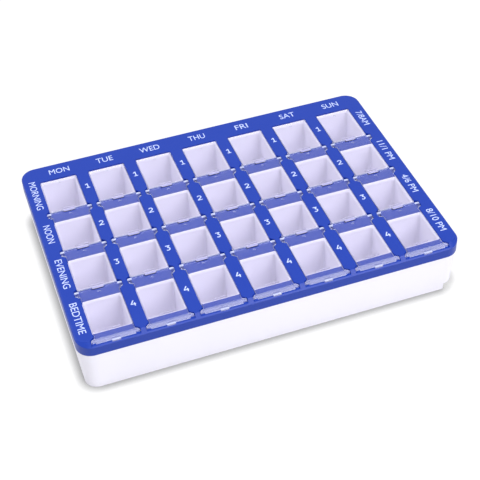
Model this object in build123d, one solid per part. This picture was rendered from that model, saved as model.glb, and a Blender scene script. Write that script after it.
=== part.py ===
from build123d import *
import os

# Weekly pill organizer: a white moulded tray with 28 wells, a blue frame snapped over it,
# and a clear lid over each well that swings up on two pins at its rear edge.
# Millimetres, +Z up, +Y to the rear, +X to the right.
# The origin lies on the resting plane, under the middle of the box.

# Days run along X from the left, times of day along Y from the rear
DAYS = ["mon", "tue", "wed", "thu", "fri", "sat", "sun"]
TIMES = ["morning", "noon", "evening", "bedtime"]

# Grid of the windows in the frame
COLUMN_PITCH = 30.0
ROW_PITCH = 34.4
WINDOW_WIDTH = 22.6
WINDOW_DEPTH = 25.1
REAR_WINDOW_DEPTH = 28.9
WINDOW_CORNER = 1.3

# Rim of the frame outside the windows
SIDE_MARGIN = 9.9
REAR_MARGIN = 14.5
FRONT_MARGIN = 8.4

# Whole box
HEIGHT = 35.0
CORNER_RADIUS = 9.0

# Blue frame
FRAME_THICKNESS = 5.0
SKIRT_HEIGHT = 8.0
SKIRT_WALL = 1.8
TOP_EDGE_RADIUS = 1.0
FRONT_BEVEL_RUN = 2.9
FRONT_BEVEL_DROP = 2.3
BEVEL_WRAP = 0.4

# Clear lids
LID_THICKNESS = 1.6
LID_SIDE_GAP = 0.45
LID_SEAT_GAP = 0.1
LID_OVERLAP = 1.05
TAB_REACH = 1.55
TAB_EDGE = 0.8
TAB_ROOT = 7.1
TAB_TIP = 6.1
TAB_SIDE_GAP = 0.15
TAB_FRONT_GAP = 0.55
SNAP_RIB_WIDTH = 8.0
SNAP_RIB_DEPTH = 1.0
SNAP_RIB_WALL = 0.6
SNAP_RIB_GAP = 0.25
GATE_MARK_RADIUS = 0.8
GATE_MARK_DEPTH = 0.25
GATE_MARK_INSET = 3.4

# Front row of lids: longer, with a lip that slopes down over the edge of the box
FRONT_LID_OVERLAP = 6.9
FRONT_LIP_RUN = 2.5
FRONT_LIP_EDGE = 0.5
FRONT_TAB_REACH = 1.2
FRONT_TAB_WIDTH = 4.8
FRONT_TAB_THICKNESS = 1.0
FRONT_TAB_SEAT = 1.1
FRONT_EAR_SETBACK = 0.8
FRONT_EAR_DEPTH = 1.0
FRONT_EAR_BEVEL = 1.25

# Hinges: the lids' round rear edges, the ears beside them, their pins, and the notches that hold them
HINGE_GAP = 0.25
REAR_HINGE_GAP = 0.5
EAR_REACH = 2.35
EAR_LENGTH = 2.7
EAR_BEVEL = 1.7
EAR_GAP = 0.35
NOTCH_LEAD = 0.15
NOTCH_TAIL = 0.4
NOTCH_DEPTH = 1.2
PIN_RADIUS = 0.4
PIN_FIT = 0.05
PIN_ENGAGEMENT = 1.0
PIN_END_GAP = 0.2

# White tray
TRAY_INSET = 0.5
TRAY_TAPER = 1.2
TRAY_WALL = 1.8
DECK_THICKNESS = 1.6
RIM_FIT = 0.15
RIM_WALL = 1.6
RIM_STEP_DROP = 2.0
WELL_WALL = 1.3
WELL_DRAFT = 0.4
WELL_CORNER = 3.0
WELL_SCOOP = 9.0
WELL_SIDE_SCOOP = 4.0
WELL_FLOOR_HEIGHT = 1.6
WELL_RIM_FIT = 0.12
WELL_RIM_WALL = 0.8
WELL_RIM_EDGE = 0.25
WELL_RIM_BEVEL = 1.2
WELL_RIM_DROP = 0.1
CORNER_NOTCH_LENGTH = 8.6
CORNER_NOTCH_HEIGHT = 4.5

# Snap ridges inside the skirt
RIDGE_LENGTH = 10.0
RIDGE_PROUD = 0.5
RIDGE_HEIGHT = 1.4
RIDGE_CENTRE_DROP = 6.2
RIDGE_FIT = 0.15
LONG_SIDE_RIDGES = 3
SHORT_SIDE_RIDGES = 2

# Cutters run past the faces that they open by this much
CLEAR = 1.0

# Sizes worked out from the ones above
COLUMNS = len(DAYS)
ROWS = len(TIMES)
WIDTH = (COLUMNS - 1) * COLUMN_PITCH + WINDOW_WIDTH + 2 * SIDE_MARGIN
DEPTH = REAR_MARGIN + REAR_WINDOW_DEPTH + (ROWS - 1) * ROW_PITCH + FRONT_MARGIN
REAR_WINDOW_EDGE = DEPTH / 2 - REAR_MARGIN
FRONT_FACE = -DEPTH / 2
HALF_WINDOW = WINDOW_WIDTH / 2

LANE_FLOOR = HEIGHT - LID_THICKNESS - LID_SEAT_GAP
HINGE_RADIUS = LID_THICKNESS / 2
PIN_HEIGHT = HEIGHT - HINGE_RADIUS
DECK_TOP = HEIGHT - FRAME_THICKNESS
SKIRT_BOTTOM = HEIGHT - SKIRT_HEIGHT

HALF_LID = HALF_WINDOW - LID_SIDE_GAP
HALF_EAR = HALF_LID + EAR_REACH
HALF_NOTCH = HALF_EAR + EAR_GAP
WELL_INSIDE_FLOOR = WELL_FLOOR_HEIGHT + WELL_WALL
WELL_INSET = WELL_RIM_FIT + WELL_RIM_WALL
WELL_RIM_TOP = LANE_FLOOR - WELL_RIM_DROP


def column_x(column):
    """Middle of a day's lane."""
    return (column - (COLUMNS - 1) / 2) * COLUMN_PITCH


def window_front(row):
    """Front edge of a row's windows."""
    return REAR_WINDOW_EDGE - REAR_WINDOW_DEPTH - row * ROW_PITCH


def window_depth(row):
    """Depth of a row's windows: the rear row's are longer."""
    return REAR_WINDOW_DEPTH if row == 0 else WINDOW_DEPTH


def lid_front(row):
    """Front edge of a row's lids, without the tab."""
    overlap = FRONT_LID_OVERLAP if row == ROWS - 1 else LID_OVERLAP
    return window_front(row) - overlap


def pin_y(row):
    """Hinge line of a row's lids, just in front of the frame's rim or of the lid before it."""
    if row == 0:
        return REAR_WINDOW_EDGE - REAR_HINGE_GAP - HINGE_RADIUS
    return lid_front(row - 1) - HINGE_GAP - HINGE_RADIUS


def block(x0, x1, y0, y1, z0, z1):
    """Box between two corners."""
    middle = Pos((x0 + x1) / 2, (y0 + y1) / 2, (z0 + z1) / 2)
    return middle * Box(x1 - x0, y1 - y0, z1 - z0)


def rounded_plan(width, depth, radius, x, y, z):
    """Rounded rectangle at a height."""
    return Pos(x, y, z) * RectangleRounded(width, depth, radius)


def plan_prism(points, z0, z1):
    """Closed outline in plan, raised from one height to another."""
    outline = make_face(Polyline(*[(x, y, z0) for x, y in points], close=True))
    return extrude(outline, z1 - z0, dir=(0, 0, 1))


def bar_along_x(radius, length, x, y, z):
    """Round bar along X."""
    return Pos(x, y, z) * Rot(0, 90, 0) * Cylinder(radius, length)


def well_form(row, x, grow, top, floor):
    """Space of one well, grown outward by the given wall: tapered, rounded and scooped to its floor."""
    inset = WELL_INSET - grow
    width = WINDOW_WIDTH - 2 * inset
    depth = window_depth(row) - 2 * inset
    y = window_front(row) + window_depth(row) / 2
    height = top - floor
    high = rounded_plan(width, depth, WINDOW_CORNER + grow, x, y, top)
    low = rounded_plan(width - 2 * WELL_DRAFT, depth - 2 * WELL_DRAFT, WELL_CORNER + grow, x, y, floor)
    plan = loft([low, high], ruled=True)
    scoop = WELL_SCOOP + grow
    side_scoop = WELL_SIDE_SCOOP + grow
    # The two trough sections are twice as tall as the well, so that only their lower corners shape it
    front_view = Plane.XZ * RectangleRounded(width, 2 * height, side_scoop)
    side_view = Plane.YZ * RectangleRounded(depth, 2 * height, scoop)
    across = Pos(x, y + depth / 2, top) * extrude(front_view, depth)
    along = Pos(x - width / 2, y, top) * extrude(side_view, width)
    return plan & across & along


def well_rim(row, x):
    """Collar of one well, which stands up through the frame's window to the lids' seat."""
    y = window_front(row) + window_depth(row) / 2
    width = WINDOW_WIDTH - 2 * WELL_RIM_FIT
    depth = window_depth(row) - 2 * WELL_RIM_FIT
    base = DECK_TOP - DECK_THICKNESS / 2
    return extrude(rounded_plan(width, depth, WINDOW_CORNER, x, y, base), WELL_RIM_TOP - base)


def rim_mouth(row, x):
    """Funnel that thins the collar's top edge from the inside."""
    y = window_front(row) + window_depth(row) / 2

    def section(inset, z):
        return rounded_plan(WINDOW_WIDTH - 2 * inset, window_depth(row) - 2 * inset, WINDOW_CORNER, x, y, z)

    low = section(WELL_INSET, WELL_RIM_TOP - WELL_RIM_BEVEL)
    high = section(WELL_RIM_FIT + WELL_RIM_EDGE, WELL_RIM_TOP)
    return loft([low, high], ruled=True)


def ridge_sites():
    """Places of the snap ridges on the four sides, each with the turn that faces it outward."""
    sites = []
    for i in range(LONG_SIDE_RIDGES):
        x = (i - (LONG_SIDE_RIDGES - 1) / 2) * WIDTH / LONG_SIDE_RIDGES
        sites += [(x, DEPTH / 2, 0), (x, -DEPTH / 2, 180)]
    for i in range(SHORT_SIDE_RIDGES):
        y = (i - (SHORT_SIDE_RIDGES - 1) / 2) * DEPTH / SHORT_SIDE_RIDGES
        sites += [(WIDTH / 2, y, -90), (-WIDTH / 2, y, 90)]
    return sites


def ridges(fit, inset, reach):
    """Bars on each side, from a wall face of the given inset inward by the given reach."""
    bars = []
    for x, y, turn in ridge_sites():
        bar = Box(RIDGE_LENGTH + 2 * fit, reach, RIDGE_HEIGHT + 2 * fit)
        place = Pos(x, y, HEIGHT - RIDGE_CENTRE_DROP) * Rot(0, 0, turn)
        bars.append(place * Pos(0, -inset - reach / 2, 0) * bar)
    return bars


def frame_blank():
    """Outside of the blue frame: rounded top edge, and a bevel along the front that fades at the corners."""
    outline = rounded_plan(WIDTH, DEPTH, CORNER_RADIUS, 0, 0, SKIRT_BOTTOM)
    blank = extrude(outline, SKIRT_HEIGHT)
    blank = fillet(blank.edges().group_by(Axis.Z)[-1], TOP_EDGE_RADIUS)
    # The bevelling block is wider than the frame and longer at the rear, so it trims only the front
    side = FRONT_BEVEL_RUN + BEVEL_WRAP
    low_width = WIDTH + 2 * side
    low_depth = DEPTH + 2 * side
    low_y = FRONT_FACE + low_depth / 2
    low_z = HEIGHT - FRONT_BEVEL_DROP
    run = FRONT_BEVEL_RUN
    low = rounded_plan(low_width, low_depth, CORNER_RADIUS + run, 0, low_y, low_z)
    high = rounded_plan(low_width - 2 * run, low_depth - 2 * run, CORNER_RADIUS, 0, low_y, HEIGHT)
    cap = loft([low, high], ruled=True)
    below = extrude(low, SKIRT_BOTTOM - low_z, dir=(0, 0, 1))
    return blank & (below + cap)


def lane_cuts(column):
    """Everything cut from one day's lane: the lid recess, its notches and its windows."""
    x = column_x(column)
    # The recess runs out through the front face, with its front corners outside the frame
    length = REAR_WINDOW_EDGE - FRONT_FACE + CLEAR + WINDOW_CORNER
    middle = REAR_WINDOW_EDGE - length / 2
    recess = rounded_plan(WINDOW_WIDTH, length, WINDOW_CORNER, x, middle, LANE_FLOOR)
    cuts = [extrude(recess, HEIGHT + CLEAR - LANE_FLOOR)]
    for row in range(ROWS):
        middle = window_front(row) + window_depth(row) / 2
        below = DECK_TOP - CLEAR
        window = rounded_plan(WINDOW_WIDTH, window_depth(row), WINDOW_CORNER, x, middle, below)
        cuts.append(extrude(window, LANE_FLOOR + CLEAR / 2 - below))
    for row in range(1, ROWS):
        lead = pin_y(row) + HINGE_RADIUS + NOTCH_LEAD
        tail = pin_y(row) - EAR_LENGTH - NOTCH_TAIL
        cuts += notches(x, lead, tail, tail - EAR_BEVEL, LANE_FLOOR - NOTCH_DEPTH)
    lead = front_ear_front() + FRONT_EAR_DEPTH + EAR_GAP
    tail = FRONT_FACE - CLEAR
    return cuts + notches(x, lead, tail, tail, LANE_FLOOR)


def notches(x, lead, tail, end, floor):
    """Pockets on both sides of a lane, bevelled at the rear, and at the front if end is past tail."""
    cuts = []
    for side in (-1, 1):
        inner = x + side * HALF_WINDOW
        outer = x + side * HALF_NOTCH
        outline = [(inner, lead + EAR_BEVEL), (outer, lead), (outer, tail), (inner, end)]
        cuts.append(plan_prism(outline, floor, HEIGHT + CLEAR))
    return cuts


def front_ear_front():
    """Front end of the front row's front ears."""
    return lid_front(ROWS - 1) + FRONT_EAR_SETBACK


def top_frame():
    """Blue frame with raised strips between the days, cross-bars between the rows and a skirt."""
    frame = frame_blank()
    inner = rounded_plan(WIDTH - 2 * SKIRT_WALL, DEPTH - 2 * SKIRT_WALL, CORNER_RADIUS - SKIRT_WALL,
                         0, 0, SKIRT_BOTTOM - CLEAR)
    frame -= extrude(inner, DECK_TOP - SKIRT_BOTTOM + CLEAR)
    cuts = []
    for column in range(COLUMNS):
        cuts += lane_cuts(column)
    for row in range(ROWS):
        half = HALF_LID if row == 0 else HALF_NOTCH
        gap = LID_SIDE_GAP if row == 0 else 0
        reach = half + gap + PIN_ENGAGEMENT + PIN_END_GAP
        length = (COLUMNS - 1) * COLUMN_PITCH + 2 * reach
        cuts.append(bar_along_x(PIN_RADIUS + PIN_FIT, length, 0, pin_y(row), PIN_HEIGHT))
    frame = frame - cuts
    return frame + ridges(0, SKIRT_WALL, RIDGE_PROUD)


def tray():
    """White tray: tapered outer wall, deck with the wells hanging from it, open underneath."""
    foot_inset = TRAY_INSET + TRAY_TAPER

    def outline(inset, z):
        return rounded_plan(WIDTH - 2 * inset, DEPTH - 2 * inset, CORNER_RADIUS - inset, 0, 0, z)

    rim_inset = SKIRT_WALL + RIM_FIT
    body = loft([outline(foot_inset, 0), outline(TRAY_INSET, SKIRT_BOTTOM)], ruled=True)
    body += extrude(outline(rim_inset, SKIRT_BOTTOM), DECK_TOP - SKIRT_BOTTOM)
    deck_under = DECK_TOP - DECK_THICKNESS
    step = SKIRT_BOTTOM - RIM_STEP_DROP
    share = step / SKIRT_BOTTOM
    step_inset = foot_inset - TRAY_TAPER * share + TRAY_WALL
    hollow = loft([outline(foot_inset + TRAY_WALL, 0), outline(step_inset, step)], ruled=True)
    hollow += extrude(outline(rim_inset + RIM_WALL, step), deck_under - step)
    body -= hollow
    shells = []
    spaces = []
    for column in range(COLUMNS):
        for row in range(ROWS):
            x = column_x(column)
            shells.append(well_form(row, x, WELL_WALL, DECK_TOP - DECK_THICKNESS / 2, WELL_FLOOR_HEIGHT))
            shells.append(well_rim(row, x))
            spaces.append(well_form(row, x, 0, WELL_RIM_TOP, WELL_INSIDE_FLOOR))
            spaces.append(rim_mouth(row, x))
    body = body + shells
    body = body - spaces
    right = WIDTH / 2
    notch = block(right - CORNER_NOTCH_LENGTH, right + CLEAR, FRONT_FACE - CLEAR,
                  FRONT_FACE + CORNER_NOTCH_LENGTH, -CLEAR, CORNER_NOTCH_HEIGHT)
    body -= notch
    return body - ridges(RIDGE_FIT, rim_inset - RIM_FIT, RIM_FIT + RIDGE_PROUD)


def lid(column, row):
    """Clear lid: flat plate with a round rear edge, ears with pins, a finger tab and a snap rib."""
    x = column_x(column)
    hinge = pin_y(row)
    body = plan_prism(lid_outline(x, row), HEIGHT - LID_THICKNESS, HEIGHT)
    if row == ROWS - 1:
        body -= lip_cut(x, row)
        body += front_tab(x, row)
    else:
        body -= tab_cut(x, row)
    half_edge = HALF_LID if row == 0 else HALF_EAR
    side_gap = LID_SIDE_GAP if row == 0 else EAR_GAP
    body += bar_along_x(HINGE_RADIUS, 2 * half_edge, x, hinge, PIN_HEIGHT)
    body += bar_along_x(PIN_RADIUS, 2 * (half_edge + side_gap + PIN_ENGAGEMENT), x, hinge, PIN_HEIGHT)
    rib_front = window_front(row) + WELL_INSET + SNAP_RIB_GAP
    body += block(x - SNAP_RIB_WIDTH / 2, x + SNAP_RIB_WIDTH / 2, rib_front, rib_front + SNAP_RIB_WALL,
                  HEIGHT - LID_THICKNESS - SNAP_RIB_DEPTH, HEIGHT - LID_THICKNESS / 2)
    if row > 0:
        body -= tab_notch(x, row)
    gate = Pos(x, hinge - GATE_MARK_INSET, HEIGHT) * Cylinder(GATE_MARK_RADIUS, 2 * GATE_MARK_DEPTH)
    return body - gate


def lid_outline(x, row):
    """Outline of a lid's plate in plan, from the hinge line to the tab, with its ears."""
    front = lid_front(row)
    hinge = pin_y(row)
    right = [(HALF_LID, hinge)]
    if row > 0:
        ear_end = hinge - EAR_LENGTH
        right = [(HALF_EAR, hinge), (HALF_EAR, ear_end), (HALF_LID, ear_end - EAR_BEVEL)]
    if row == ROWS - 1:
        ear_front = front_ear_front()
        ear_rear = ear_front + FRONT_EAR_DEPTH
        right += [(HALF_LID, ear_rear + FRONT_EAR_BEVEL), (HALF_EAR, ear_rear)]
        right += [(HALF_EAR, ear_front), (HALF_LID, ear_front)]
    right.append((HALF_LID, front))
    if row < ROWS - 1:
        right += [(TAB_ROOT / 2, front), (TAB_TIP / 2, front - TAB_REACH)]
    left = [(-px, py) for px, py in reversed(right)]
    return [(x + px, py) for px, py in right + left]


def lip_cut(x, row):
    """Wedge that slopes the top of the front lids down to the thin edge of their lip."""
    rear = lid_front(row) + FRONT_LIP_RUN
    front = lid_front(row)
    low = HEIGHT - LID_THICKNESS + FRONT_LIP_EDGE
    top = HEIGHT + CLEAR
    rise = CLEAR * FRONT_LIP_RUN / (HEIGHT - low)
    ahead = front - CLEAR
    return wedge(x, [(rear + rise, top), (front, low), (ahead, low), (ahead, top)])


def front_tab(x, row):
    """Finger tab of a front lid, which stands on the lip's slope and out past its edge."""
    edge = lid_front(row)
    bottom = HEIGHT - LID_THICKNESS
    return block(x - FRONT_TAB_WIDTH / 2, x + FRONT_TAB_WIDTH / 2, edge - FRONT_TAB_REACH,
                 edge + FRONT_TAB_SEAT, bottom, bottom + FRONT_TAB_THICKNESS)


def tab_cut(x, row):
    """Wedge that thins a finger tab from below, so that a nail gets under it."""
    rear = lid_front(row)
    front = rear - TAB_REACH
    bottom = HEIGHT - LID_THICKNESS
    tip = HEIGHT - TAB_EDGE
    run = CLEAR * TAB_REACH / (tip - bottom)
    low = bottom - CLEAR
    return wedge(x, [(rear + run, low), (front, tip), (front - CLEAR, tip), (front - CLEAR, low)])


def wedge(x, section):
    """Side view in Y and Z, as wide as a lid with its ears."""
    half = HALF_EAR + CLEAR
    face = make_face(Polyline(*[(x - half, y, z) for y, z in section], close=True))
    return extrude(face, 2 * half, dir=(1, 0, 0))


def tab_notch(x, row):
    """Gap in a lid's hinge edge that takes the tab of the lid before it."""
    root = lid_front(row - 1)
    front = root - TAB_REACH - TAB_FRONT_GAP
    half = TAB_ROOT / 2 + TAB_SIDE_GAP
    return block(x - half, x + half, front, root, HEIGHT - 2 * LID_THICKNESS, HEIGHT + CLEAR)


def write(name, shape):
    """Write one node."""
    shape.label = name
    export_step(shape, f"parts/{name}.step")


os.makedirs("parts", exist_ok=True)
write("base_tray", tray())
write("top_frame", top_frame())
for column, day in enumerate(DAYS):
    for row, time in enumerate(TIMES):
        write(f"lid_{day}_{time}", lid(column, row))
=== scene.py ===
import math

import bmesh
import bpy
import numpy as np
from mathutils import Matrix, Vector


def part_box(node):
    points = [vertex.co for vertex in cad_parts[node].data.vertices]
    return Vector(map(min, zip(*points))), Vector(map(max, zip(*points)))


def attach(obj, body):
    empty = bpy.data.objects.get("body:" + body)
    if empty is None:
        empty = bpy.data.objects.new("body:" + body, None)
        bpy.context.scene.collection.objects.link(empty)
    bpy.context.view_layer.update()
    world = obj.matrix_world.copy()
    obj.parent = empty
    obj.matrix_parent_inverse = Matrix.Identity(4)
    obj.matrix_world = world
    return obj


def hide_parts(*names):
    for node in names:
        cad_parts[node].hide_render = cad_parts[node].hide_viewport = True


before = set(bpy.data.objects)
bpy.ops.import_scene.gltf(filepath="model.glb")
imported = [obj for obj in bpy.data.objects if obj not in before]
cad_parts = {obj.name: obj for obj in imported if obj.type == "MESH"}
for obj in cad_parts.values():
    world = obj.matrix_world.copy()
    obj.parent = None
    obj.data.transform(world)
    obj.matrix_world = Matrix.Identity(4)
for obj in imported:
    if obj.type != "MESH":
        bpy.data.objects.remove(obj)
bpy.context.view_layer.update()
scene = bpy.context.scene

# The tray is one white polypropylene moulding: the tapered wall, the deck and 28 scooped wells.
# It comes out of a satin mould, so its gloss is soft and its skin very slightly uneven.
# It stands on the rim of its wall.

CLOUD_DETAIL = 2.0
GRAIN_DETAIL = 3.0
GLOSS_DETAIL = 1.0
GRAIN_HEIGHT = 0.00001
POLYPROPYLENE_IOR = 1.49
TRAY_TONES = ((0.885, 0.868, 0.975), (0.905, 0.888, 0.99))


def node(tree, kind, inputs=None, **settings):
    """Add one shader node, with its settings and the values or links of its inputs."""
    made = tree.nodes.new(kind)
    for key, value in settings.items():
        setattr(made, key, value)
    for key, value in (inputs or {}).items():
        if isinstance(value, bpy.types.NodeSocket):
            tree.links.new(value, made.inputs[key])
        else:
            made.inputs[key].default_value = value
    return made


def empty_material(name):
    """Make a node material with nothing in it, and give it with its tree."""
    material = bpy.data.materials.new(name)
    material.use_nodes = True
    material.node_tree.nodes.clear()
    return material, material.node_tree


def surface(tree, shader):
    """Make a shader the look of the whole material."""
    node(tree, "ShaderNodeOutputMaterial", {"Surface": shader})


def noise(tree, patch, detail):
    """Noise from 0 to 1 that is fixed to the piece, in patches of about the given size in metres."""
    place = node(tree, "ShaderNodeTexCoord").outputs["Object"]
    made = node(tree, "ShaderNodeTexNoise", {"Vector": place, "Scale": 1 / patch, "Detail": detail})
    return made.outputs["Fac"]


def mottled(tree, tones, patch):
    """Colour that drifts in clouds between two close tones."""
    dark, light = tones
    mix = node(tree, "ShaderNodeMix", {"Factor": noise(tree, patch, CLOUD_DETAIL)}, data_type="RGBA")
    mix.inputs["A"].default_value = (*dark, 1)
    mix.inputs["B"].default_value = (*light, 1)
    return mix.outputs["Result"]


def uneven_gloss(tree, low, high, patch):
    """Roughness that drifts in patches between two values."""
    drift = noise(tree, patch, GLOSS_DETAIL)
    span = node(tree, "ShaderNodeMapRange", {"Value": drift, "To Min": low, "To Max": high})
    return span.outputs["Result"]


def satin_grain(tree, grain):
    """Normal of a mould's fine satin texture, with grains of the given size in metres."""
    rise = noise(tree, grain, GRAIN_DETAIL)
    return node(tree, "ShaderNodeBump", {"Height": rise, "Distance": GRAIN_HEIGHT}).outputs["Normal"]


def dress(node_name, material):
    """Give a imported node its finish."""
    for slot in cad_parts[node_name].material_slots:
        slot.material = material


tray_plastic, tree = empty_material("tray_polypropylene")
surface(tree, node(tree, "ShaderNodeBsdfPrincipled", {
    "Base Color": mottled(tree, TRAY_TONES, patch=0.025),
    "Roughness": uneven_gloss(tree, low=0.34, high=0.44, patch=0.012),
    "Normal": satin_grain(tree, grain=0.0006),
    "IOR": POLYPROPYLENE_IOR,
}).outputs["BSDF"])
dress("base_tray", tray_plastic)

# The frame is one blue polypropylene moulding that snaps over the tray: strips between the days,
# bars between the rows, and a short skirt round the rim. It comes out of the same kind of satin mould
# as the tray, polished a little finer.

FRAME_TONES = ((0.002, 0.034, 0.352), (0.005, 0.040, 0.372))
FRAME_SHINE = 0.4

frame_plastic, tree = empty_material("frame_polypropylene")
surface(tree, node(tree, "ShaderNodeBsdfPrincipled", {
    "Base Color": mottled(tree, FRAME_TONES, patch=0.03),
    "Roughness": uneven_gloss(tree, low=0.32, high=0.42, patch=0.015),
    "Normal": satin_grain(tree, grain=0.0005),
    "IOR": POLYPROPYLENE_IOR,
    "Specular IOR Level": FRAME_SHINE,
}).outputs["BSDF"])
dress("top_frame", frame_plastic)

# The words for the days, the times and the hours and the numbers of the rows are printed on the blue
# frame with a pad, in white ink. The film of ink is a few hundredths of a millimetre thick, and the
# blue shows through it a little.

DAYS = ["mon", "tue", "wed", "thu", "fri", "sat", "sun"]
TIMES = ["morning", "noon", "evening", "bedtime"]
HOURS = ["7/8AM", "11/1 PM", "4/6 PM", "8/10 PM"]
INK_FILM = 0.00003
INK_TONES = ((0.46, 0.56, 0.93), (0.64, 0.72, 0.99))
INK_ROUGHNESS = 0.5
UNPRESSED_DEPTH = 0.5

frame_low, frame_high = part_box("top_frame")
ink_middle = frame_high.z + INK_FILM / 2

ink, tree = empty_material("white_ink")
surface(tree, node(tree, "ShaderNodeBsdfPrincipled", {
    "Base Color": mottled(tree, INK_TONES, patch=0.0008),
    "Roughness": INK_ROUGHNESS,
}).outputs["BSDF"])


def outline(curve):
    """Points, as an array, and faces of the mesh that a text or a curve makes."""
    holder = bpy.data.objects.new("outline", curve)
    scene.collection.objects.link(holder)
    bpy.context.view_layer.update()
    mesh = bpy.data.meshes.new_from_object(holder)
    bpy.data.objects.remove(holder)
    points = np.empty(len(mesh.vertices) * 3)
    mesh.vertices.foreach_get("co", points)
    faces = [list(polygon.vertices) for polygon in mesh.polygons]
    bpy.data.meshes.remove(mesh)
    return points.reshape(-1, 3), faces


def printed(words, x, y, length, height, turn=0.0):
    """Points and faces of words, turned about +Z by an angle in degrees.

    The outline of the letters is moved to its own middle, stretched to the given length, the height
    of a capital and the thickness of the film, turned, and moved to its place on the frame's top."""
    curve = bpy.data.curves.new("letters", "FONT")
    curve.body = words
    curve.extrude = UNPRESSED_DEPTH
    points, faces = outline(curve)
    low, high = points.min(0), points.max(0)
    points = (points - (low + high) / 2) / (high - low) * (length, height, INK_FILM)
    points = points @ np.array(Matrix.Rotation(math.radians(turn), 3, "Z")).T
    return points + (x, y, ink_middle), faces


def inked(name, prints):
    """One piece of ink that rides on the box, of several prints, each with its place in its points."""
    points, faces = np.empty((0, 3)), []
    for more_points, more_faces in prints:
        faces += [[len(points) + i for i in face] for face in more_faces]
        points = np.concatenate([points, more_points])
    film = bpy.data.meshes.new(name)
    film.from_pydata(points, [], faces)
    film.materials.append(ink)
    piece = bpy.data.objects.new(name, film)
    scene.collection.objects.link(piece)
    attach(piece, "box")


def middle(node_name):
    """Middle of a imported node's box."""
    low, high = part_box(node_name)
    return (low + high) / 2


day_x = [middle(f"lid_{day}_noon").x for day in DAYS]

DAY_LENGTHS = [0.0125, 0.0104, 0.0127, 0.0107, 0.0082, 0.0101, 0.0108]
DAY_SHIFTS = [0.0024, 0.0011, 0.0001, 0.0010, 0.0009, 0.0020, 0.0018]
DAY_CAPITALS = 0.0046
DAY_FROM_REAR = 0.0074
day_y = frame_high.y - DAY_FROM_REAR
inked("day_words", [
    printed(day.upper(), x + shift, day_y, length, DAY_CAPITALS)
    for day, x, length, shift in zip(DAYS, day_x, DAY_LENGTHS, DAY_SHIFTS)
])

SIDEWAYS = -90
TIME_CAPITALS = 0.0041
TIME_LENGTHS = [0.0266, 0.0158, 0.0240, 0.0237]
TIME_MIDDLES = [0.0514, 0.0151, -0.0197, -0.0558]
TIME_FROM_SIDE = 0.0053
time_x = frame_low.x + TIME_FROM_SIDE
inked("time_words", [
    printed(time.upper(), time_x, y, length, TIME_CAPITALS, SIDEWAYS)
    for time, y, length in zip(TIMES, TIME_MIDDLES, TIME_LENGTHS)
])

HOUR_LENGTHS = [0.0149, 0.0192, 0.0167, 0.0196]
HOUR_MIDDLES = [0.0499, 0.0146, -0.0193, -0.0542]
HOUR_FROM_SIDE = 0.0052
hour_x = frame_high.x - HOUR_FROM_SIDE
inked("hour_words", [
    printed(hours, hour_x, y, length, TIME_CAPITALS, SIDEWAYS)
    for hours, y, length in zip(HOURS, HOUR_MIDDLES, HOUR_LENGTHS)
])

STROKE = 0.00065
STROKE_ROUNDNESS = 2
ARC_POINTS = 13
MILLIMETRES_IN_METRE = 1000


def arc(x, y, radius, start, end):
    """Points on a circle between two angles in degrees, in millimetres like the strokes."""
    angles = np.radians(np.linspace(start, end, ARC_POINTS))
    return [(x + radius * math.cos(angle), y + radius * math.sin(angle)) for angle in angles]


# Strokes of the numbers 1 to 4 in millimetres, from the middle of each number
NUMERALS = [
    [[(-0.9, 1.0), (0.5, 1.9)], [(0.4, 2.1), (0.4, -1.8)], [(-0.8, -1.8), (1.5, -1.8)]],
    [arc(-0.1, 0.75, 1.05, 165, -35) + [(-1.3, -1.7)], [(-1.6, -1.8), (1.3, -1.8)]],
    [[(-1.3, 1.8), (1.2, 1.8)], [(1.0, 1.9), (-0.3, 0.4)], arc(-0.25, -0.7, 1.12, 90, -140)],
    [[(0.3, 2.0), (-1.4, -0.7)], [(-1.6, -0.65), (1.3, -0.65)], [(0.6, 0.4), (0.6, -2.1)]],
]


def drawn(strokes, x, y):
    """Points and faces of a number: round bars along its strokes, pressed flat to the film of ink."""
    curve = bpy.data.curves.new("strokes", "CURVE")
    curve.dimensions = "3D"
    curve.bevel_depth = STROKE / 2
    curve.bevel_resolution = STROKE_ROUNDNESS
    curve.use_fill_caps = True
    for stroke in strokes:
        line = curve.splines.new("POLY")
        line.points.add(len(stroke) - 1)
        for point, (along, up) in zip(line.points, stroke):
            point.co = (along / MILLIMETRES_IN_METRE, up / MILLIMETRES_IN_METRE, 0, 1)
    points, faces = outline(curve)
    return points * (1, 1, INK_FILM / STROKE) + (x, y, ink_middle), faces


NUMBER_MIDDLES = [0.0495, 0.0139, -0.0209, -0.0556]
inked("row_numbers", [
    drawn(strokes, (left + right) / 2, y)
    for left, right in zip(day_x[:-1], day_x[1:])
    for strokes, y in zip(NUMERALS, NUMBER_MIDDLES)
])

# Each lid is one clear polystyrene moulding: plate, round rear edge, ears with pins, tab and snap rib.
# Its mould is polished and has slightly rounded corners. The light that the plate gathers comes out at
# its edges; it is painted on, as a pale painted highlight on the upright edges and glints along the ears,
# a painted highlight on the tab tops and painted shade under the tabs and the front lips. The pins snap
# into holes in the frame's strips.

STYRENE_IOR = 1.59
PALE_IOR = 1.5
INNER_IOR = 1.05
# Painted highlight on the plates' upright edges, along the ears, and on the front row's tabs
EDGE_HIGHLIGHT_TONES = ((0.56, 0.62, 0.94), (0.82, 0.86, 1.0))
# Painted highlight on the tab tops of the rows behind the front one
TAB_HIGHLIGHT_TONES = ((0.47, 0.46, 0.72), (0.58, 0.56, 0.84))
# Painted shade under the tabs and the front lids' lips
LIP_SHADE_TONES = ((0.20, 0.225, 0.48), (0.26, 0.285, 0.56))
CLEAR_TINT = (0.97, 0.96, 0.995)
INNER_TINT = (0.96, 0.955, 0.99)
PALE_TINT = (0.93, 0.93, 0.98)


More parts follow.
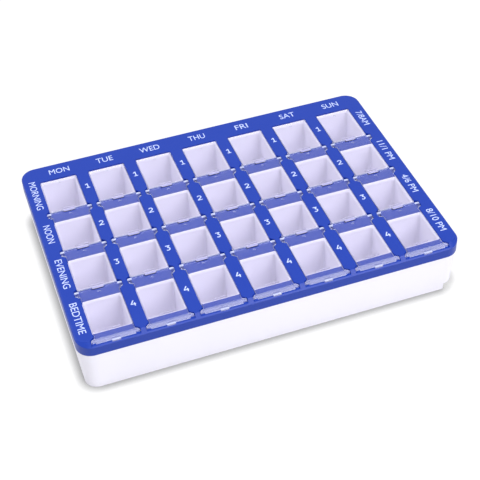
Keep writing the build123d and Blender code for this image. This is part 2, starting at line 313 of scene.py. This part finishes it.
def let_light_by(tree, plastic, tint):
    """Let lamps and soft light through a plastic's shader in a straight line, tinted by a colour."""
    open_way = node(tree, "ShaderNodeBsdfTransparent", {"Color": (*tint, 1)})
    rays = node(tree, "ShaderNodeLightPath")
    lit = node(tree, "ShaderNodeMath", {0: rays.outputs["Is Shadow Ray"], 1: rays.outputs["Is Diffuse Ray"]},
               operation="MAXIMUM")
    surface(tree, node(tree, "ShaderNodeMixShader", {
        0: lit.outputs["Value"], 1: plastic.outputs["BSDF"], 2: open_way.outputs["BSDF"],
    }).outputs["Shader"])


def see_through(name, colour, roughness, ior, tint):
    """Polished polystyrene, or a face of it that hardly bends the light."""
    material, tree = empty_material(name)
    plastic = node(tree, "ShaderNodeBsdfPrincipled", {
        "Base Color": (*colour, 1),
        "Roughness": roughness,
        "IOR": ior,
        "Transmission Weight": 1.0,
    })
    let_light_by(tree, plastic, tint)
    return material


def painted_light_plastic(name, tones, patch, roughness, clearness):
    """Polystyrene with light or shade painted into its colour: mottled, a little rough and only partly clear.
    """
    material, tree = empty_material(name)
    plastic = node(tree, "ShaderNodeBsdfPrincipled", {
        "Base Color": mottled(tree, tones, patch),
        "Roughness": roughness,
        "IOR": PALE_IOR,
        "Transmission Weight": clearness,
    })
    let_light_by(tree, plastic, PALE_TINT)
    return material


clear_plastic = see_through(
    "clear_polystyrene", colour=(0.965, 0.965, 1.0), roughness=0.04, ior=STYRENE_IOR, tint=CLEAR_TINT)
# Painted highlight for the lids' edges and ears
painted_edge_highlight = painted_light_plastic("painted_highlight_edge_polystyrene", EDGE_HIGHLIGHT_TONES, patch=0.002, roughness=0.3, clearness=0.35)
# Painted highlight for the tab tops
painted_tab_highlight = painted_light_plastic("painted_highlight_tab_polystyrene", TAB_HIGHLIGHT_TONES, patch=0.002, roughness=0.3, clearness=0.35)
# Painted shade for the undersides of the tabs and lips
painted_lip_shade = painted_light_plastic("painted_shade_lip_polystyrene", LIP_SHADE_TONES, patch=0.003, roughness=0.35, clearness=0.3)
inner_plastic = see_through(
    "inner_polystyrene", colour=(0.9, 0.9, 0.98), roughness=0.1, ior=INNER_IOR, tint=INNER_TINT)

WELD = 0.000002
CORNER_ROUNDING = 0.00008
CORNER_SEGMENTS = 2
ON_THE_PLANE = 0.000001

# Angles in degrees between two faces that meet: up to which they are one flat face, up to which they
# are one smooth surface, and from which their corner is rounded
FLAT_WITHIN = 1
SMOOTH_WITHIN = 18
ROUNDED_FROM = 40


def merged_copy(name, source_name):
    """Copy of a CAD node whose loose triangles are joined, with flat faces in as few pieces as it takes."""
    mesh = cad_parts[source_name].data.copy()
    work = bmesh.new()
    work.from_mesh(mesh)
    bmesh.ops.remove_doubles(work, verts=work.verts, dist=WELD)
    bmesh.ops.dissolve_limit(work, angle_limit=math.radians(FLAT_WITHIN), verts=work.verts, edges=work.edges)
    work.to_mesh(mesh)
    work.free()
    mesh.materials.clear()
    mesh.shade_smooth()
    mesh.set_sharp_from_angle(angle=math.radians(SMOOTH_WITHIN))
    piece = bpy.data.objects.new(name, mesh)
    scene.collection.objects.link(piece)
    return piece


def rounded(piece):
    """Round the sharp corners of a piece and keep its flat faces evenly shaded."""
    bevel = piece.modifiers.new("rounding", "BEVEL")
    bevel.width = CORNER_ROUNDING
    bevel.segments = CORNER_SEGMENTS
    bevel.limit_method = "ANGLE"
    bevel.angle_limit = math.radians(ROUNDED_FROM)
    bevel.use_clamp_overlap = False
    even = piece.modifiers.new("even_shading", "WEIGHTED_NORMAL")
    even.keep_sharp = True


def cut_along(mesh, places):
    """Cut a mesh's faces along planes, each given by a point and a normal, and keep both sides."""
    work = bmesh.new()
    work.from_mesh(mesh)
    for point, normal in places:
        everything = work.verts[:] + work.edges[:] + work.faces[:]
        bmesh.ops.bisect_plane(work, geom=everything, dist=ON_THE_PLANE, plane_co=point, plane_no=normal)
    work.to_mesh(mesh)
    work.free()


CLEAR, EDGE_HIGHLIGHT, TAB_HIGHLIGHT, INNER, LIP_SHADE = range(5)
LID_THICKNESS = 0.0016
HALF_PLATE = 0.01087
EAR_GLINT_RUN = 0.0005
REAR_EDGE = 0.0012
TAB_REACH = 0.00155
FRONT_TAB_REACH = 0.0012
FRONT_LIP_RUN = 0.0025
HALF_TAB = 0.0036
HALF_TAB_GAP = 0.0038
CLOSE = 0.00002
FLAT_ENOUGH = 0.5


def finish_faces(mesh, x, hinge_y, lip_y, front_y, low_z):
    """Choose the finish of each face of a lid by where its middle is and which way it looks.

    The plate's upright edges and the ears' faces in a thin strip by the hinge get a painted highlight.
    The tab's top gets a painted highlight, and the undersides of the tab and of a front lid's lip get
    painted shade. The snap rib and the gap for the next tab barely show, as light comes through them
    nearly straight. The rest is clear."""
    sides = [((x + side * HALF_PLATE, 0, 0), (1, 0, 0)) for side in (-1, 1)]
    cut_along(mesh, sides + [((0, y, 0), (0, 1, 0)) for y in (hinge_y - EAR_GLINT_RUN, lip_y, front_y)])
    middles = np.empty(len(mesh.polygons) * 3)
    normals = np.empty(len(mesh.polygons) * 3)
    mesh.polygons.foreach_get("center", middles)
    mesh.polygons.foreach_get("normal", normals)
    middle_x, middle_y, middle_z = middles.reshape(-1, 3).T
    upward = normals.reshape(-1, 3)[:, 2]
    away = abs(middle_x - x)
    upright = abs(upward) < FLAT_ENOUGH
    rear = middle_y > hinge_y - REAR_EDGE
    tab = (middle_y < front_y) & (away < HALF_TAB)
    # Faces that get the painted highlight: a thin strip of the ears by the hinge, and the plate's upright
    # edges
    ear_glint = (away > HALF_PLATE) & (middle_y > hinge_y - EAR_GLINT_RUN)
    gap = upright & rear & (away < HALF_TAB_GAP)
    rib = middle_z < low_z - CLOSE
    # Downward faces under the tab and the front lip get painted shade
    underside = (upward < -FLAT_ENOUGH) & (middle_y < lip_y)
    edge = upright & ~rear & (away < HALF_PLATE + CLOSE)
    finish = np.select(
        [rib | gap, underside, tab & (upward > FLAT_ENOUGH), tab, ear_glint | edge],
        [INNER, LIP_SHADE, TAB_HIGHLIGHT, CLEAR, EDGE_HIGHLIGHT], CLEAR)
    mesh.polygons.foreach_set("material_index", finish.astype(np.int32))


for day, x in zip(DAYS, day_x):
    for time in TIMES:
        source_name = f"lid_{day}_{time}"
        lid = merged_copy(f"clear_lid_{day}_{time}", source_name)
        in_front = time == TIMES[-1]
        # The tab tops get a painted highlight: the bright edge one on the front row, a softer one behind it.
        lid_tab_highlight = painted_edge_highlight if in_front else painted_tab_highlight
        for plastic in (clear_plastic, painted_edge_highlight, lid_tab_highlight, inner_plastic, painted_lip_shade):
            lid.data.materials.append(plastic)
        low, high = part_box(source_name)
        hinge_y = high.y - LID_THICKNESS / 2
        front_y = low.y + (FRONT_TAB_REACH if in_front else TAB_REACH)
        lip_y = front_y + (FRONT_LIP_RUN if in_front else 0)
        finish_faces(lid.data, x, hinge_y, lip_y, front_y, high.z - LID_THICKNESS)
        rounded(lid)
        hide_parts(source_name)
        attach(lid, f"{day}_{time}_lid")

# The floor is a plain white table top, of matt board. Where it is looked at it glows white, and a painted
# soft shadow dims that glow within a few millimetres of the box's walls. It isn't part of the box.

FLOOR_HALF = 3.0
FLOOR_BOUNCE = (0.7, 0.7, 0.7, 1)
FLOOR_MATT = (0.16, 0.16, 0.165, 1)
FLOOR_GLOW = (0.86, 0.86, 0.86, 1)
SHADOW_REACH = 0.006
SHADOW_POWER = 1.7
SHADOW_SAMPLES = 16


def looked_at(tree):
    """1 where the camera, gloss or clear plastic looks straight at a thing, and 0 for light that it sends."""
    rays = node(tree, "ShaderNodeLightPath")
    seen = rays.outputs["Is Camera Ray"]
    for ray in ("Is Glossy Ray", "Is Transmission Ray"):
        either = node(tree, "ShaderNodeMath", {0: seen, 1: rays.outputs[ray]}, operation="MAXIMUM")
        seen = either.outputs["Value"]
    return seen


table_white, tree = empty_material("white_table")
bounce = node(tree, "ShaderNodeBsdfDiffuse", {"Color": FLOOR_BOUNCE})
matt = node(tree, "ShaderNodeBsdfDiffuse", {"Color": FLOOR_MATT})
# Painted contact shadow: the glow is dimmed where the box's walls are close by.
painted_contact_shadow = node(tree, "ShaderNodeAmbientOcclusion", {"Distance": SHADOW_REACH}, samples=SHADOW_SAMPLES)
painted_shadow_strength = node(tree, "ShaderNodeMath", {0: painted_contact_shadow.outputs["AO"], 1: SHADOW_POWER}, operation="POWER")
glow = node(tree, "ShaderNodeEmission", {"Strength": painted_shadow_strength.outputs["Value"], "Color": FLOOR_GLOW})
white = node(tree, "ShaderNodeAddShader", {0: matt.outputs["BSDF"], 1: glow.outputs["Emission"]})
surface(tree, node(tree, "ShaderNodeMixShader", {
    0: looked_at(tree), 1: bounce.outputs["BSDF"], 2: white.outputs["Shader"],
}).outputs["Shader"])

corners = [(along * FLOOR_HALF, up * FLOOR_HALF, 0) for along, up in ((-1, -1), (1, -1), (1, 1), (-1, 1))]
floor_mesh = bpy.data.meshes.new("floor")
floor_mesh.from_pydata(corners, [], [(0, 1, 2, 3)])
floor_mesh.materials.append(table_white)
floor = bpy.data.objects.new("floor", floor_mesh)
scene.collection.objects.link(floor)

# Even, soft daylight comes from all round. Three large square lamps face the box: one high above it,
# one at the left rear and one in front.

DAYLIGHT = 0.5
SEEN_WHITE = 1.0

scene.view_settings.view_transform = "Standard"
world = bpy.data.worlds.new("studio")
scene.world = world
world.use_nodes = True
tree = world.node_tree
tree.nodes.clear()
level = node(tree, "ShaderNodeMapRange", {"Value": looked_at(tree), "To Min": DAYLIGHT, "To Max": SEEN_WHITE})
sky = node(tree, "ShaderNodeBackground", {"Strength": level.outputs["Result"]})
node(tree, "ShaderNodeOutputWorld", {"Surface": sky.outputs["Background"]})


def soft_lamp(name, place, size, watts):
    """Square soft lamp that faces the middle of the box."""
    light = bpy.data.lights.new(name, "AREA")
    light.shape = "SQUARE"
    light.size = size
    light.energy = watts
    lamp = bpy.data.objects.new(name, light)
    lamp.location = place
    lamp.rotation_euler = (-Vector(place)).to_track_quat("-Z", "Y").to_euler()
    scene.collection.objects.link(lamp)


soft_lamp("top_lamp", place=(0.31, -0.17, 1.3), size=0.95, watts=6.0)
soft_lamp("left_lamp", place=(-0.75, 0.45, 1.2), size=0.9, watts=11.0)
soft_lamp("front_lamp", place=(0.4, -1.0, 0.9), size=0.9, watts=11.0)

# The camera stands in front of the box, a little to the left, and looks down on it through a long
# lens. It is turned slightly about its own axis.

CAMERA_PLACE = (-0.14824, -0.48175, 0.47669)
CAMERA_HEADING = 17.588
CAMERA_DOWN = 42.954
CAMERA_ROLL = -2.589
CAMERA_LENS = 85.51
SENSOR_WIDTH = 36.0
NEAREST_SEEN = 0.01

camera_data = bpy.data.cameras.new("camera")
camera_data.lens = CAMERA_LENS
camera_data.sensor_width = SENSOR_WIDTH
camera_data.clip_start = NEAREST_SEEN
camera = bpy.data.objects.new("camera", camera_data)
scene.collection.objects.link(camera)
turn = Matrix.Rotation(math.radians(-CAMERA_HEADING), 4, "Z")
tilt = Matrix.Rotation(math.radians(90 - CAMERA_DOWN), 4, "X")
roll = Matrix.Rotation(math.radians(CAMERA_ROLL), 4, "Z")
camera.matrix_world = Matrix.Translation(CAMERA_PLACE) @ turn @ tilt @ roll
scene.camera = camera
